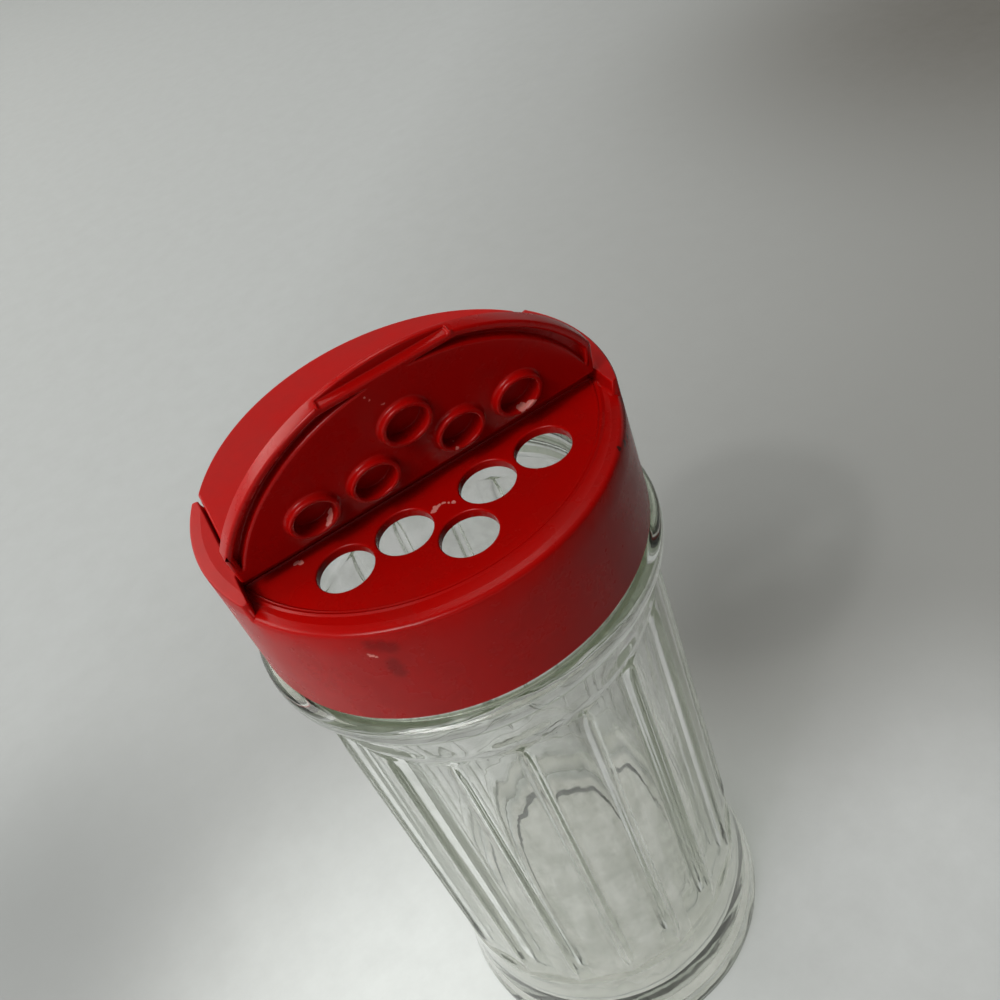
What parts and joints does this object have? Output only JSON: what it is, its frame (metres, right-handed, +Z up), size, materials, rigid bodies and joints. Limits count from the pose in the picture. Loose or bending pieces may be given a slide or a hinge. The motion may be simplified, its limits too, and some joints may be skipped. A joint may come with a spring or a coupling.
{
  "type": "spice shaker",
  "caption": "Fluted clear glass shaker jar with a red screw cap; one hinged flap opens a row of sift holes, the other a half-round spoon opening.",
  "frame": {"origin": "centre of the jar's foot, on the surface it stands on", "axes": "+Z up along the jar's axis, X along the flap hinges, -Y towards the sift flap and +Y towards the spoon flap"},
  "size_m": [0.0698, 0.0698, 0.173],
  "materials": {
    "glass": "clear pressed glass, faintly green in the thick base",
    "red_plastic": "satin moulded polypropylene, all one piece in the real cap"
  },
  "bodies": {
    "jar": {"glass_jar": "glass"},
    "cap": {"screw_cap": "red_plastic", "sift_hinge_web": "red_plastic", "spoon_hinge_web": "red_plastic"},
    "sift_lid": {"sift_flap": "red_plastic"},
    "spoon_lid": {"spoon_flap": "red_plastic"}
  },
  "joints": [
    {"name": "cap_lift", "type": "slide", "parent": "jar", "child": "cap", "axis": [0, 0, 1], "range_m": [0, 0.06]},
    {"name": "sift_hinge", "type": "hinge", "parent": "cap", "child": "sift_lid", "pos_m": [0, -0.0075, 0.1491], "axis": [-1, 0, 0], "range_deg": [-76, 19]},
    {"name": "spoon_hinge", "type": "hinge", "parent": "cap", "child": "spoon_lid", "pos_m": [0, 0, 0.1491], "axis": [1, 0, 0], "range_deg": [0, 95]}
  ]
}
